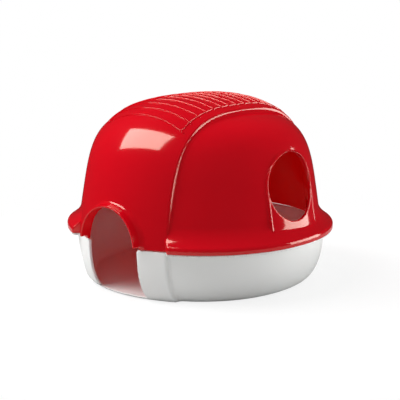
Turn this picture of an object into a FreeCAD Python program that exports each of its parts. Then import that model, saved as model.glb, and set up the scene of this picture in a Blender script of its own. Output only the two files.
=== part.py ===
import FreeCAD, Part
import math
import os

from FreeCAD import Rotation, Vector

# A two-piece hamster house: a thin red hood that sits on a white open tray.
# The frame has +Z up, the entrance faces -Y, the round window faces +X, and the
# origin is under the middle of the house, on the surface it stands on.

# Driving sizes in millimetres, or degrees where the note says so. The "power" of
# an oval or a profile is the exponent of its superellipse: 2 is an ellipse, and
# more is squarer.
SIZES = [
    ("hood_length", 150.0, "flange of the hood along X"),
    ("hood_depth", 145.6, "flange of the hood along Y"),
    ("flange_power", 2.08, "plan shape of the flange"),
    ("flange_base", 28.4, "height of the flange's lower edge"),
    ("lip_height", 3.2, "upright lip at the flange's outer edge"),
    ("cove_knee", 35.6, "height where the flange's slope would meet the wall"),
    ("cove_top", 41.0, "height where the cove has run out into the wall"),
    ("hood_wall", 1.8, "thickness of the hood"),
    ("lobe_base", 30.4, "height from which the lobes' profile is measured"),
    ("lobe_top", 94.4, "height of the lobes' flat crown"),
    ("flange_reach_length", 6.4, "flange beyond the lobes' wall, along X"),
    ("flange_reach_depth", 3.6, "flange beyond the lobes' wall, along Y"),
    ("lobe_power", 1.97, "plan shape of the lobes"),
    ("lobe_taper_length", 0.115, "share lost along X from foot to crown"),
    ("lobe_taper_depth", 0.183, "share lost along Y from foot to crown"),
    ("lobe_rise_power", 6.0, "profile power of the lobes, upwards"),
    ("lobe_reach_power", 3.77, "profile power of the lobes, outwards"),
    ("band_half_width", 32.0, "half the band that runs over the house"),
    ("band_edge_depth", 62.3, "band along Y at its edges, at the rim"),
    ("band_bow", 9.6, "how far the band's middle stands beyond its edges, at the rim"),
    ("band_edge_top", 96.0, "height of the band's edges"),
    ("band_crown_rise", 5.8, "band's crown above its edges"),
    ("band_taper", 0.136, "share of depth lost from rim to crown"),
    ("band_rise_power", 4.1, "profile power of the band, upwards"),
    ("band_reach_power", 2.85, "profile power of the band, outwards"),
    ("band_edge_round", 1.0, "rounding along the band's edges"),
    ("collar_reach", 1.5, "collar's front edge beyond the middle of the band's rim"),
    ("rib_height", 0.5, "grip ribs above the crown"),
    ("rib_width", 0.7, "thickness of a grip rib"),
    ("rib_pitch", 6.35, "spacing of the ribs that run across"),
    ("rib_margin", 3.5, "band left plain beyond the ends of the ribs"),
    ("rib_half_run", 44.45, "from the middle to the first and last rib"),
    ("rail_inset", 2.0, "ends of the ribs beyond the rails that tie them"),
    ("arch_half_width", 18.9, "entrance, half its width"),
    ("arch_centre", 29.8, "height of the centre of the entrance's arch"),
    ("collar_wall", 1.3, "thickness of the collar round the entrance"),
    ("collar_foot", 1.7, "collar's lower ends above the band's rim"),
    ("window_radius", 17.8, "round side window"),
    ("window_height", 57.7, "height of the window's centre"),
    ("pad_setback", 3.1, "window pad's face behind the lobe's foot, at that height"),
    ("window_lean", 9.9, "lean of the window pad, in degrees"),
    ("pad_margin", 0.9, "pad beyond the window's edge"),
    ("pad_curve", 64.5, "radius to which the pad's face is curved"),
    ("pad_depth", 9.0, "pad's thickness before the inside is hollowed"),
    ("tray_wall", 1.8, "thickness of the tray"),
    ("overhang_length", 4.6, "flange beyond the tray's wall, along X"),
    ("overhang_depth", 7.0, "flange beyond the tray's wall, along Y"),
    ("tray_flare_length", 11.7, "tray's wall from foot to top, outwards along X"),
    ("tray_flare_depth", 7.6, "tray's wall from foot to top, outwards along Y"),
    ("tray_power", 2.1, "plan shape of the tray"),
    ("tray_rise_power", 2.4, "profile power of the tray, upwards"),
    ("tray_reach_power", 1.77, "profile power of the tray, outwards"),
    ("tray_band_flare", 9.4, "tray's band from foot to top, outwards at its edges"),
    ("tray_band_foot_bow", 8.1, "how far its middle stands beyond its edges, at the foot"),
    ("rim_thickness", 1.2, "tray's outward rim under the flange"),
    ("rim_setback", 0.6, "rim inside the flange's edge"),
    ("upstand_height", 2.2, "locating edge of the tray above its rim"),
    ("upstand_thickness", 1.2, "thickness of that edge"),
    ("fit_gap", 0.3, "clearance between the hood and the tray"),
    ("doorway_half_width", 17.6, "entrance through the tray, half its width"),
    ("sill_height", 1.8, "floor left under the entrance"),
]

# How finely the free curves are set out.
PLAN_POINTS = 16
PROFILE_STEPS = 8
DOME_STEPS = 7
COVE_STEPS = 3
STEEPEST = math.radians(84)

# How far the tools that cut run past what they cut, in millimetres.
OVERRUN = 12.0

document = FreeCAD.newDocument("HamsterHouse")
sheet = document.addObject("Spreadsheet::Sheet", "Sizes")


def fill_sheet():
    """Writes the driving sizes to the sheet, each with its alias and note."""
    for row, (alias, value, note) in enumerate(SIZES, start=1):
        sheet.set("A%d" % row, alias)
        sheet.set("B%d" % row, str(value))
        sheet.set("C%d" % row, note)
        sheet.setAlias("B%d" % row, alias)
    document.recompute()


def size(alias):
    """The value of one driving size."""
    return float(sheet.getPropertyByName(alias))


def band_rim():
    """Height of the band's lower edge, which clears the tray that carries the flange."""
    return size("flange_base") + size("fit_gap")


def band_middle_depth():
    """Half the band along Y at its middle, at the rim."""
    return size("band_edge_depth") + size("band_bow")


def band_middle_top():
    """Height of the band's crown."""
    return size("band_edge_top") + size("band_crown_rise")


def lobe_foot():
    """Half length and half depth of the lobes at their foot."""
    length = size("hood_length") / 2 - size("flange_reach_length")
    return length, size("hood_depth") / 2 - size("flange_reach_depth")


def tray_top():
    """Half length and half depth of the tray's wall at its top."""
    length = size("hood_length") / 2 - size("overhang_length")
    return length, size("hood_depth") / 2 - size("overhang_depth")


def bound(kind, name, **expressions):
    """A primitive whose properties follow expressions on the sheet."""
    item = document.addObject(kind, name)
    for prop, expression in expressions.items():
        item.setExpression(prop.replace("__", "."), expression)
    return item


def free_form(name, shape):
    """An object that holds a free-form solid worked out from the sheet."""
    item = document.addObject("Part::Feature", name)
    item.Shape = shape
    return item


def joined(name, items):
    """The union of several objects."""
    item = document.addObject("Part::MultiFuse", name)
    item.Shapes = items
    return item


def cut(name, base, tool):
    """One object less another."""
    item = document.addObject("Part::Cut", name)
    item.Base = base
    item.Tool = tool
    return item


def mirrored(name, item):
    """The same object on the other side of the YZ plane."""
    copy = document.addObject("Part::Mirroring", name)
    copy.Source = item
    copy.Normal = Vector(1, 0, 0)
    return copy


def window_pad(name, inset):
    """The arched pad round the window, curved and leaning with the wall; inset is an expression."""
    arch = bound("Part::Cylinder", name + "Arch",
                 Radius="Sizes.window_radius + Sizes.pad_margin - %s" % inset,
                 Height="Sizes.pad_depth",
                 Placement__Base__x="-Sizes.pad_depth")
    arch.Placement.Rotation = Rotation(Vector(0, 1, 0), 90)
    legs = bound("Part::Box", name + "Legs",
                 Length="Sizes.pad_depth",
                 Width="2 * (Sizes.window_radius + Sizes.pad_margin - %s)" % inset,
                 Height="Sizes.window_height - Sizes.cove_knee",
                 Placement__Base__x="-Sizes.pad_depth",
                 Placement__Base__y="%s - Sizes.window_radius - Sizes.pad_margin" % inset,
                 Placement__Base__z="Sizes.cove_knee - Sizes.window_height")
    face = bound("Part::Cylinder", name + "Face",
                 Radius="Sizes.pad_curve - %s" % inset,
                 Height="4 * Sizes.window_radius",
                 Placement__Base__x="-Sizes.pad_curve",
                 Placement__Base__z="-2 * Sizes.window_radius")
    item = document.addObject("Part::Common", name)
    item.Base = joined(name + "Block", [arch, legs])
    item.Tool = face
    item.setExpression("Placement.Base.x",
                       "Sizes.hood_length / 2 - Sizes.flange_reach_length - Sizes.pad_setback")
    item.setExpression("Placement.Base.z", "Sizes.window_height")
    item.Placement.Rotation = Rotation(Vector(0, 1, 0), -size("window_lean"))
    return item


# Outlines

def smooth_line(points, parameters):
    """A smooth curve through points; curves of one loft share their parameters."""
    curve = Part.BSplineCurve()
    curve.interpolate(Points=points, Parameters=parameters)
    return curve.toShape()


def spaced(points):
    """Parameters from 0 to 1 that follow the distances between points."""
    lengths = [0.0]
    for before, after in zip(points, points[1:]):
        lengths.append(lengths[-1] + before.distanceToPoint(after))
    return [length / lengths[-1] for length in lengths]


def oval_points(half_length, half_depth, power, start, height):
    """Points along the part of a superellipse beyond x = start."""
    limit = math.acos((start / half_length) ** (power / 2))
    end = half_depth * math.sin(limit) ** (2 / power)
    points = [Vector(start, -end, height)]
    for index in range(1, PLAN_POINTS):
        angle = limit * (2 * index / PLAN_POINTS - 1)
        across = half_length * math.cos(angle) ** (2 / power)
        along = half_depth * math.copysign(abs(math.sin(angle)) ** (2 / power), angle)
        points.append(Vector(across, along, height))
    points.append(Vector(start, end, height))
    return points


def half_oval(half_length, half_depth, power, start, height):
    """The part of a superellipse beyond x = start, closed by a straight line."""
    points = oval_points(half_length, half_depth, power, start, height)
    pattern = oval_points(1.0, 1.0, size("flange_power"), 0.0, 0.0)
    return Part.Wire([smooth_line(points, spaced(pattern)), Part.makeLine(points[-1], points[0])])


def prism(wire, rise):
    """The solid above a flat outline, or below it where rise is negative."""
    return Part.Face(wire).extrude(Vector(0, 0, rise))


def lobe_plan(height, inset):
    """Half length and half depth of the lobes at a height below their crown."""
    rise = max(height - size("lobe_base"), 0.0)
    share = min(rise / (size("lobe_top") - inset - size("lobe_base")), 1.0)
    reach = (1 - share ** size("lobe_rise_power")) ** (1 / size("lobe_reach_power"))
    length, depth = lobe_foot()
    length *= (1 - size("lobe_taper_length") * share) * reach
    depth *= (1 - size("lobe_taper_depth") * share) * reach
    return length - inset, depth - inset


# Solids of the hood

def lobe(inset):
    """One lobe from the middle of the house outwards, with its cove and lip, set in."""
    length = size("hood_length") / 2 - inset
    depth = size("hood_depth") / 2 - inset
    lip_top = size("flange_base") + size("lip_height") - inset
    knee = size("cove_knee") - inset
    run_out = size("cove_top") - inset
    sections = []
    for index in range(COVE_STEPS + 1):
        share = index / COVE_STEPS
        outer = (1 - share) ** 2
        height = outer * lip_top + 2 * share * (1 - share) * knee + share ** 2 * run_out
        wall_length, wall_depth = lobe_plan(height, inset)
        power = outer * size("flange_power") + (1 - outer) * size("lobe_power")
        sections.append(half_oval(outer * length + (1 - outer) * wall_length,
                                  outer * depth + (1 - outer) * wall_depth, power, 0.0, height))
    span = size("lobe_top") - inset - size("lobe_base")
    first = math.asin(((run_out - size("lobe_base")) / span) ** (size("lobe_rise_power") / 2))
    for index in range(1, DOME_STEPS + 1):
        turn = first + (STEEPEST - first) * index / DOME_STEPS
        height = size("lobe_base") + span * math.sin(turn) ** (2 / size("lobe_rise_power"))
        wall_length, wall_depth = lobe_plan(height, inset)
        sections.append(half_oval(wall_length, wall_depth, size("lobe_power"), 0.0, height))
    lip_foot = size("flange_base") - inset
    lip = prism(half_oval(length, depth, size("flange_power"), 0.0, lip_foot), lip_top - lip_foot)
    return Part.makeLoft(sections, True, False).fuse(lip)


def arched_panel(half_width, edge_profile, middle_profile):
    """A solid that bows outwards between two flat sides at plus and minus half_width."""
    sections = []
    pattern = spaced([Vector(0.0, depth, height) for depth, height in middle_profile])
    for place, profile in ((-half_width, edge_profile), (0.0, middle_profile), (half_width, edge_profile)):
        points = [Vector(place, depth, height) for depth, height in profile]
        sections.append(Part.Wire([smooth_line(points, pattern), Part.makeLine(points[-1], points[0])]))
    return Part.makeLoft(sections, True, False)


def band_profile(depth, top, foot):
    """Front to back outline of the band, from one lower edge over the crown to the other."""
    half = []
    for index in range(PROFILE_STEPS):
        turn = math.pi / 2 * index / PROFILE_STEPS
        share = math.sin(turn) ** (2 / size("band_rise_power"))
        reach = math.cos(turn) ** (2 / size("band_reach_power"))
        half.append((depth * (1 - size("band_taper") * share) * reach, foot + (top - foot) * share))
    front = [(-along, height) for along, height in half]
    return front + [(0.0, top)] + half[::-1]


def band(inset):
    """The band over the house, set in by the inset."""
    foot = band_rim()
    edge = band_profile(size("band_edge_depth") - inset, size("band_edge_top") - inset, foot)
    middle = band_profile(band_middle_depth() - inset, band_middle_top() - inset, foot)
    return arched_panel(size("band_half_width") - inset, edge, middle)


def rounded_band():
    """The band with its two long edges eased by two narrow bevels."""
    reach = size("band_edge_round")
    half_width = size("band_half_width")
    foot = band_rim()
    middle = band_profile(band_middle_depth(), band_middle_top(), foot)
    pieces = []
    rows = []
    for turn in (0.0, math.pi / 4, math.pi / 2):
        inset = reach * (1 - math.cos(turn))
        place = half_width - reach + reach * math.sin(turn)
        edge = band_profile(size("band_edge_depth") - inset, size("band_edge_top") - inset, foot)
        rows.append((place, edge))
    pieces.append(arched_panel(rows[0][0], rows[0][1], middle))
    pattern = spaced([Vector(0.0, depth, height) for depth, height in middle])
    for (near, near_profile), (far, far_profile) in zip(rows, rows[1:]):
        for side in (-1, 1):
            sections = []
            for place, profile in ((near, near_profile), (far, far_profile)):
                points = [Vector(side * place, depth, height) for depth, height in profile]
                ends = Part.makeLine(points[-1], points[0])
                sections.append(Part.Wire([smooth_line(points, pattern), ends]))
            pieces.append(Part.makeLoft(sections, True, True))
    return pieces[0].multiFuse(pieces[1:])


def band_hollow():
    """The space inside the band, run down past its rim."""
    foot = band(size("hood_wall"))
    lower = [face for face in foot.Faces if face.BoundBox.ZLength < 0.01]
    return foot.fuse([face.extrude(Vector(0, 0, -OVERRUN)) for face in lower])


def grip_ribs():
    """Raised ribs on the crown: long ones across, tied near their ends by two rails."""
    half_width = size("rib_width") / 2
    half_length = size("band_half_width") - size("rib_margin")
    lowest = size("band_edge_top") - 3 * size("rib_pitch")
    tall = band_middle_top() + OVERRUN - lowest
    rows = int(round(2 * size("rib_half_run") / size("rib_pitch")))
    pitch = 2 * size("rib_half_run") / rows
    bars = []
    for row in range(rows + 1):
        along = row * pitch - size("rib_half_run")
        corner = Vector(-half_length, along - half_width, lowest)
        bars.append(Part.makeBox(2 * half_length, 2 * half_width, tall, corner))
    rail = half_length - size("rail_inset")
    for place in (-rail, rail):
        corner = Vector(place - half_width, -size("rib_half_run"), lowest)
        bars.append(Part.makeBox(2 * half_width, 2 * size("rib_half_run"), tall, corner))
    grid = bars[0].multiFuse(bars[1:])
    return band(-size("rib_height")).common(grid)


# Solids of the tray

def tray_share(share):
    """How far out the tray's wall has come at a share of its height."""
    return (1 - (1 - share) ** size("tray_rise_power")) ** (1 / size("tray_reach_power"))


def bowl(inset, start, foot, top):
    """The round part of the tray beyond x = start, between two heights, set in."""
    sections = []
    for index in range(DOME_STEPS + 1):
        turn = math.pi / 2 * index / DOME_STEPS
        share = 1 - math.cos(turn)
        out = tray_share(share)
        length, depth = tray_top()
        length -= size("tray_flare_length") * (1 - out) + inset
        depth -= size("tray_flare_depth") * (1 - out) + inset
        height = foot + (top - foot) * share
        sections.append(half_oval(length, depth, size("tray_power"), start, height))
    return Part.makeLoft(sections, True, False)


def bowl_hollow():
    """The space inside one side of the bowl, run up past its rim."""
    start = size("band_half_width") - size("fit_gap") - 2 * size("tray_wall")
    solid = bowl(size("tray_wall"), start, size("sill_height"), size("flange_base"))
    return solid.fuse(raised_top(solid))


def raised_top(solid):
    """A solid that stands on the flat top of another, OVERRUN tall."""
    top = max(solid.Faces, key=lambda face: face.CenterOfMass.z)
    return top.extrude(Vector(0, 0, OVERRUN))


def tray_band_profile(foot_depth, rim_depth, foot, top):
    """Front to back outline of the tray's band, down one side and up the other."""
    half = []
    for index in range(PROFILE_STEPS + 1):
        turn = math.pi / 2 * index / PROFILE_STEPS
        share = 1 - math.cos(turn)
        depth = foot_depth + (rim_depth - foot_depth) * tray_share(share)
        half.append((depth, foot + (top - foot) * share))
    return half


def tray_band(inset, foot, top):
    """The part of the tray that carries on the hood's band, set in by the inset."""
    half_width = size("band_half_width") - size("fit_gap") - inset
    edge_depth = size("band_edge_depth") - inset
    edge_foot = edge_depth - size("tray_band_flare")
    middle_foot = edge_foot + size("tray_band_foot_bow")
    edge = tray_band_profile(edge_foot, edge_depth, foot, top)
    middle = tray_band_profile(middle_foot, edge_depth + size("band_bow"), foot, top)
    sections = []
    rising = spaced([Vector(0.0, depth, height) for depth, height in middle])
    falling = [1.0 - parameter for parameter in rising[::-1]]
    for place, profile in ((-half_width, edge), (0.0, middle), (half_width, edge)):
        back = [Vector(place, depth, height) for depth, height in profile]
        front = [Vector(place, -depth, height) for depth, height in reversed(profile)]
        sections.append(Part.Wire([Part.makeLine(front[-1], back[0]), smooth_line(back, rising),
                                   Part.makeLine(back[-1], front[0]), smooth_line(front, falling)]))
    return Part.makeLoft(sections, True, False)


def standing(solid):
    """The solid run down past the ground and cut off level with it."""
    lower = min(solid.Faces, key=lambda face: face.CenterOfMass.z)
    longer = solid.fuse(lower.extrude(Vector(0, 0, -OVERRUN)))
    box = longer.BoundBox
    ground = Part.makeBox(box.XLength, box.YLength, 2 * OVERRUN,
                          Vector(box.XMin, box.YMin, -2 * OVERRUN))
    return longer.cut(ground)


def tray_band_hollow():
    """The space inside the tray's band, run up past its rim."""
    solid = tray_band(size("tray_wall"), size("sill_height"), size("flange_base"))
    return solid.fuse(raised_top(solid))


def rim():
    """One side of the outward rim that the flange rests on."""
    length = size("hood_length") / 2 - size("rim_setback")
    depth = size("hood_depth") / 2 - size("rim_setback")
    foot = size("flange_base") - size("rim_thickness")
    start = size("band_half_width") - size("fit_gap") - size("tray_wall") / 2
    return prism(half_oval(length, depth, size("flange_power"), start, foot), size("rim_thickness"))


def upstand():
    """One side of the edge that stands on the tray's wall and keeps the hood in place."""
    foot = size("flange_base") - size("rim_thickness")
    rise = size("upstand_height") + size("rim_thickness")
    start = size("band_half_width") + size("hood_wall") + size("fit_gap")
    walls = []
    for inset in (size("fit_gap"), size("fit_gap") + size("upstand_thickness")):
        length, depth = tray_top()
        plan = half_oval(length - inset, depth - inset, size("tray_power"), start, foot)
        walls.append(prism(plan, rise))
    return walls[0].cut(walls[1])


fill_sheet()

# Hood, outside: the lobes either side of the band, the band, its ribs, the collar
# of the entrance and the pad of the window.
lobe_outer = free_form("LobeOuter", lobe(0.0))
under_band = bound("Part::Box", "UnderBand",
                   Length="2 * Sizes.band_half_width",
                   Width="2 * Sizes.hood_depth",
                   Height="2 * Sizes.lobe_top",
                   Placement__Base__x="-Sizes.band_half_width - 1.6 * Sizes.band_edge_round",
                   Placement__Base__y="-Sizes.hood_depth",
                   Placement__Base__z="-Sizes.lobe_top / 2")
right_lobe = cut("RightLobe", lobe_outer, under_band)
left_lobe = mirrored("LeftLobe", right_lobe)
band_outer = free_form("BandOuter", rounded_band())
ribs = free_form("GripRibs", grip_ribs())
collar_arch = bound("Part::Cylinder", "CollarArch",
                    Radius="Sizes.arch_half_width + Sizes.collar_wall",
                    Height="(Sizes.band_edge_depth + Sizes.band_bow + Sizes.collar_reach) / 2",
                    Placement__Base__y="-(Sizes.band_edge_depth + Sizes.band_bow + Sizes.collar_reach) / 2",
                    Placement__Base__z="Sizes.arch_centre")
collar_arch.Placement.Rotation = Rotation(Vector(1, 0, 0), 90)
below_rim = bound("Part::Box", "BelowRim",
                  Length="2 * Sizes.band_half_width",
                  Width="Sizes.hood_depth",
                  Height="Sizes.flange_base + Sizes.fit_gap + Sizes.collar_foot",
                  Placement__Base__x="-Sizes.band_half_width",
                  Placement__Base__y="-Sizes.hood_depth")
collar = cut("Collar", collar_arch, below_rim)
pad = window_pad("WindowPad", "0")
hood_outer = joined("HoodOuter", [band_outer, right_lobe, left_lobe, ribs, collar, pad])

# Hood, inside: the same forms set in by the wall, less two plates that close the
# flange's hollow ends where it meets the band.
lobe_inner = free_form("LobeInner", lobe(size("hood_wall")))
plate_slab = bound("Part::Box", "PlateSlab",
                   Length="Sizes.band_half_width + Sizes.hood_wall + %g" % OVERRUN,
                   Width="2 * Sizes.hood_depth",
                   Height="2 * Sizes.cove_knee",
                   Placement__Base__x="-%g" % OVERRUN,
                   Placement__Base__y="-Sizes.hood_depth",
                   Placement__Base__z="-Sizes.cove_knee")
foot_length, foot_depth = lobe_plan(size("lobe_base"), size("hood_wall"))
cabin_foot = free_form("CabinFoot", prism(
    half_oval(foot_length, foot_depth, size("lobe_power"), 0.0, 0.0), size("lobe_top")))
plate = cut("EndPlates", plate_slab, cabin_foot)
right_hollow = cut("RightHollow", lobe_inner, plate)
left_hollow = mirrored("LeftHollow", right_hollow)
band_inner = free_form("BandInner", band_hollow())
entrance_arch = bound("Part::Cylinder", "EntranceArch",
                      Radius="Sizes.arch_half_width",
                      Height="Sizes.hood_depth / 2",
                      Placement__Base__y="-Sizes.hood_depth / 4",
                      Placement__Base__z="Sizes.arch_centre")
entrance_arch.Placement.Rotation = Rotation(Vector(1, 0, 0), 90)
window_hole = bound("Part::Cylinder", "WindowHole",
                    Radius="Sizes.window_radius",
                    Height="Sizes.hood_length / 2",
                    Placement__Base__x="Sizes.hood_length / 4",
                    Placement__Base__z="Sizes.window_height")
window_hole.Placement.Rotation = Rotation(Vector(0, 1, 0), 90)
pad_hollow = window_pad("PadHollow", "Sizes.hood_wall")
hood_tools = joined("HoodTools", [right_hollow, left_hollow, band_inner, entrance_arch,
                                  window_hole, pad_hollow])
hood = cut("Hood", hood_outer, hood_tools)
hood.Label = "hood"

# Tray: a round bowl crossed by the band's lower part, hollowed, with a rim for the
# flange to rest on and an edge inside it that keeps the hood in place.
bowl_start = size("band_half_width") - size("fit_gap") - size("tray_wall") / 2
right_bowl = free_form("RightBowl", bowl(0.0, bowl_start, 0.0, size("flange_base")))
left_bowl = mirrored("LeftBowl", right_bowl)
tray_band_outer = free_form("TrayBandOuter", standing(tray_band(0.0, 0.0, size("flange_base"))))
right_rim = free_form("RightRim", rim())
left_rim = mirrored("LeftRim", right_rim)
tray_outer = joined("TrayOuter", [tray_band_outer, right_bowl, left_bowl, right_rim, left_rim])
right_well = free_form("RightWell", bowl_hollow())
left_well = mirrored("LeftWell", right_well)
band_well = free_form("BandWell", tray_band_hollow())
tray_hollow = joined("TrayHollow", [band_well, right_well, left_well])
tray_shell = cut("TrayShell", tray_outer, tray_hollow)
right_upstand = free_form("RightUpstand", upstand())
left_upstand = mirrored("LeftUpstand", right_upstand)
tray_fitted = joined("TrayFitted", [tray_shell, right_upstand, left_upstand])
doorway = bound("Part::Box", "Doorway",
                Length="2 * Sizes.doorway_half_width",
                Width="Sizes.hood_depth / 2",
                Height="Sizes.band_edge_top / 2",
                Placement__Base__x="-Sizes.doorway_half_width",
                Placement__Base__y="-3 * Sizes.hood_depth / 4",
                Placement__Base__z="Sizes.sill_height")
base_tray = cut("BaseTray", tray_fitted, doorway)
base_tray.Refine = True
base_tray.Label = "base_tray"

# The collar makes the front reach further than the back; both pieces are moved back
# together, so that the origin stays under the middle of the whole.
for node in (hood, base_tray):
    node.setExpression("Placement.Base.y", "Sizes.collar_reach / 2")

document.recompute()

for item in document.Objects:
    if "Invalid" in item.State or "Error" in item.State:
        raise RuntimeError("%s was not built: %s" % (item.Name, item.State))

os.makedirs("parts", exist_ok=True)
for node in (hood, base_tray):
    if node.Shape.isNull() or not node.Shape.isValid():
        raise RuntimeError("%s has no valid shape" % node.Label)
    node.Shape.exportStep("parts/%s.step" % node.Label)
    print(node.Label, "solids", len(node.Shape.Solids), "faces", len(node.Shape.Faces),
          "volume %.1f" % node.Shape.Volume, node.Shape.BoundBox)
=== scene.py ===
"""Dresses a two-piece hamster house: a red moulded hood that rests on a white tray.

Both mouldings are worked out from the same sizes as their solids, in millimetres, as
distance rules: each form is a rule that says how far a point lies outside it, and
forms are joined or cut with the small radii that a mould leaves. A fine net is then
laid on the rule's surface and takes its normals from it, so that the glossy skin
reflects as smoothly as the real one. Every length in a rule is in millimetres; only the
finished meshes, the camera and the lamps are in metres.
"""

import logging
import math
from dataclasses import dataclass
from enum import Enum
from typing import Any, Callable, Iterable

import bpy
import numpy as np
from mathutils import Matrix, Vector

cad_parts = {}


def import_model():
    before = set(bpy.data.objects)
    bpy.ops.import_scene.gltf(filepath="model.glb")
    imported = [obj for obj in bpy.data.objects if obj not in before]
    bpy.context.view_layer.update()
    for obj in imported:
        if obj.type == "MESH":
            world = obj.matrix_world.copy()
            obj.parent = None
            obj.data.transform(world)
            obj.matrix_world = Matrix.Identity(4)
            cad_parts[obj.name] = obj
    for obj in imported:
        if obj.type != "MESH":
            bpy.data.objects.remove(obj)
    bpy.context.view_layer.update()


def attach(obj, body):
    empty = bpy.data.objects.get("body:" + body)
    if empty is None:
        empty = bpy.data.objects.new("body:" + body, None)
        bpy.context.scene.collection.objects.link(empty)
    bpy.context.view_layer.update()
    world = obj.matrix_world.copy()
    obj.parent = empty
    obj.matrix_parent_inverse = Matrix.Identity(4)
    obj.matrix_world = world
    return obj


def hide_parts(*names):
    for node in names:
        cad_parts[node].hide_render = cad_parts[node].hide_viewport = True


LOG = logging.getLogger("hamster_house")
MM = 0.001
NET_PITCH = 0.6

# The least values that roots and divisions are given.
LEAST_TOTAL = 1e-9
LEAST_DIVISOR = 1e-6

# A form that narrows upwards keeps at least this share of its foot. The band's bow is
# lost with the square of the distance from the middle, up to this share of it, which
# is just past the band's edge.
LEAST_NARROWING = 0.2
MOST_BOW_LOST = 1.1

# The colour sockets of Blender's Mix node, which share their names with others.
MIX_A = 6
MIX_B = 7
MIX_RESULT = 2

Rule = Callable[[np.ndarray, np.ndarray, np.ndarray], np.ndarray]


class Body(Enum):
    """The rigid bodies of the frame that a piece can ride on."""

    HOUSE = "root"


class Slot(Enum):
    """The record's material slots."""

    HOOD = "hood"
    TRAY = "tray"


# Rules for joining and cutting forms

def eased_both(first: np.ndarray, second: np.ndarray, radius: float) -> np.ndarray:
    """Keeps what lies inside both forms and rounds the edge between them.

    Args:
        first: Distances outside the first form, in millimetres.
        second: Distances outside the second form, in millimetres.
        radius: Radius of the outward edge, in millimetres.

    Returns:
        Distances outside the common form.
    """
    corner = np.hypot(np.maximum(first + radius, 0), np.maximum(second + radius, 0))
    return np.minimum(np.maximum(first, second), -radius) + corner


def eased_either(first: np.ndarray, second: np.ndarray,
                 radius: float | np.ndarray) -> np.ndarray:
    """Keeps what lies inside either form and fills the corner between them.

    Args:
        first: Distances outside the first form, in millimetres.
        second: Distances outside the second form, in millimetres.
        radius: Radius of the inward corner, in millimetres, or one at each point.

    Returns:
        Distances outside the joined form.
    """
    corner = np.hypot(np.maximum(radius - first, 0), np.maximum(radius - second, 0))
    return np.maximum(np.minimum(first, second), radius) - corner


def oval_measure(across: np.ndarray, along: np.ndarray, length: float | np.ndarray,
                 depth: float | np.ndarray, power: float) -> np.ndarray:
    """Says how many times larger than a given oval the one through each point is.

    Args:
        across: Positions along X.
        along: Positions along Y.
        length: Half length of the oval along X.
        depth: Half depth of the oval along Y.
        power: Exponent of the oval; 2 is an ellipse, more is squarer.

    Returns:
        The measure at each point, which is 1 on the oval itself.
    """
    sum_of_powers = (np.abs(across) / length) ** power + (np.abs(along) / depth) ** power
    return np.maximum(sum_of_powers, LEAST_TOTAL) ** (1 / power)


def arch_distance(across: np.ndarray, upwards: np.ndarray, radius: float) -> np.ndarray:
    """Gives the distance outside an upright arch: a half circle on two straight legs."""
    return np.hypot(across, np.maximum(upwards, 0)) - radius


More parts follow.
